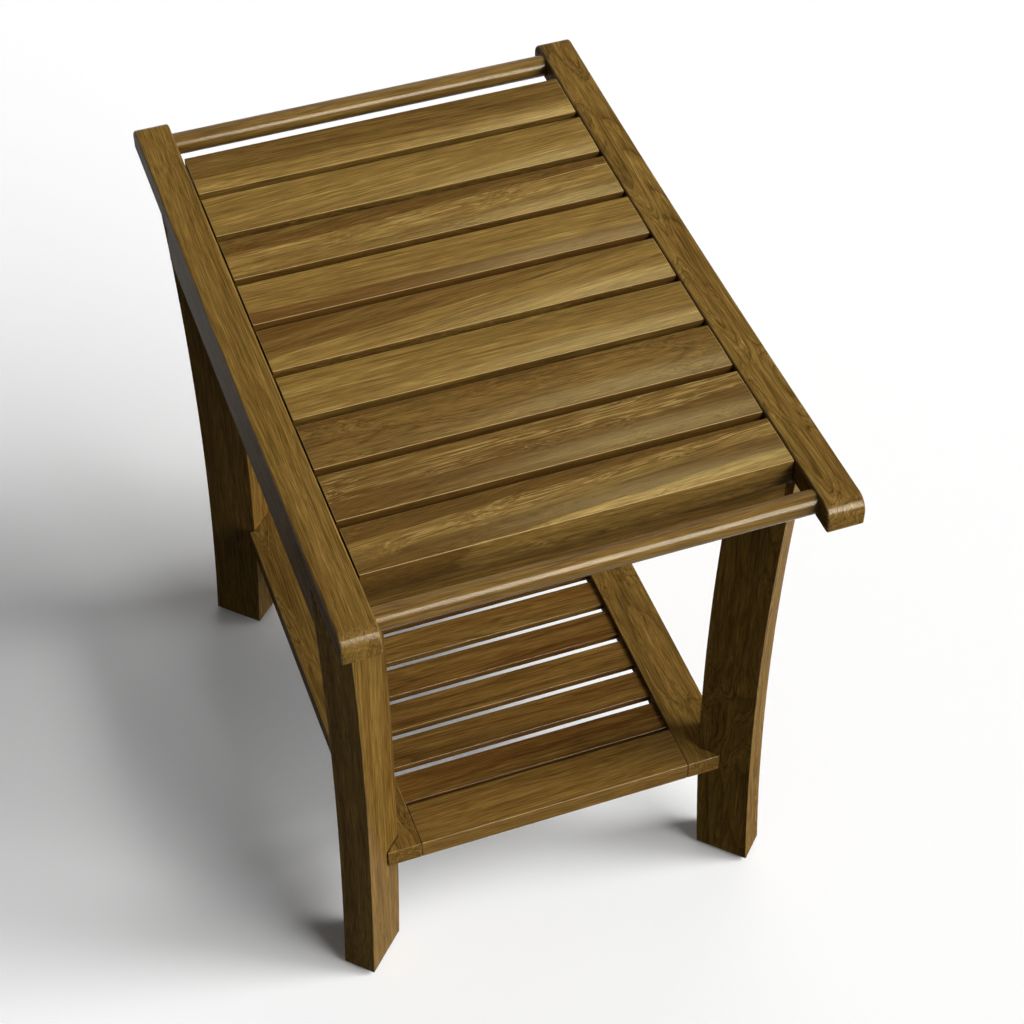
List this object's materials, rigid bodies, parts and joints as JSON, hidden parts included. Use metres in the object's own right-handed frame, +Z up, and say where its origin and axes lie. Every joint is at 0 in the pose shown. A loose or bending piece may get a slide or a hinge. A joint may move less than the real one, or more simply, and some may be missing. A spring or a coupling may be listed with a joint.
{
  "type": "teak shower bench",
  "caption": "Small teak bench with a dished slatted seat, a round handle at each end, bowed legs set at 45 degrees and a slatted shelf.",
  "frame": {"origin": "on the floor under the middle of the seat", "axes": "+X to the right along the seat slats, +Y to the back along the side rails, +Z up"},
  "size_m": [0.341, 0.527, 0.4596],
  "materials": {
    "teak_seat": "oiled, satin",
    "teak_frame": "oiled, satin",
    "teak_leg": "oiled, satin",
    "teak_shelf": "oiled, satin",
    "teak_support": "oiled, satin",
    "beech_dowel": "plain turned",
    "stainless_steel": "plain",
    "glide_plastic": "moulded, fine texture"
  },
  "bodies": {
    "root": {"rail_left": "teak_frame", "rail_right": "teak_frame", "handle_front": "teak_frame", "handle_back": "teak_frame", "slat_1": "teak_seat", "slat_2": "teak_seat", "slat_3": "teak_seat", "slat_4": "teak_seat", "slat_5": "teak_seat", "slat_6": "teak_seat", "slat_7": "teak_seat", "slat_8": "teak_seat", "slat_9": "teak_seat", "cleat_left": "teak_support", "cleat_right": "teak_support", "apron_left": "teak_support", "apron_right": "teak_support", "apron_front": "teak_support", "apron_back": "teak_support", "leg_front_left": "teak_leg", "leg_front_right": "teak_leg", "leg_back_left": "teak_leg", "leg_back_right": "teak_leg", "corner_block_front_left": "teak_support", "corner_block_front_right": "teak_support", "corner_block_back_left": "teak_support", "corner_block_back_right": "teak_support", "shelf_rail_left": "teak_shelf", "shelf_rail_right": "teak_shelf", "shelf_board_front": "teak_shelf", "shelf_board_back": "teak_shelf", "shelf_slat_1": "teak_shelf", "shelf_slat_2": "teak_shelf", "shelf_slat_3": "teak_shelf", "shelf_slat_4": "teak_shelf", "shelf_slat_5": "teak_shelf", "shelf_slat_6": "teak_shelf", "shelf_slat_7": "teak_shelf", "shelf_slat_8": "teak_shelf", "shelf_slat_9": "teak_shelf", "hanger_bolts": "stainless_steel", "bolt_washers": "stainless_steel", "bolt_nuts": "stainless_steel", "slat_screws": "stainless_steel", "cleat_screws": "stainless_steel", "block_screws": "stainless_steel", "rail_dowels": "beech_dowel", "slat_dowels": "beech_dowel", "shelf_dowels": "beech_dowel", "shelf_pins": "beech_dowel", "foot_glides": "glide_plastic"}
  },
  "joints": []
}
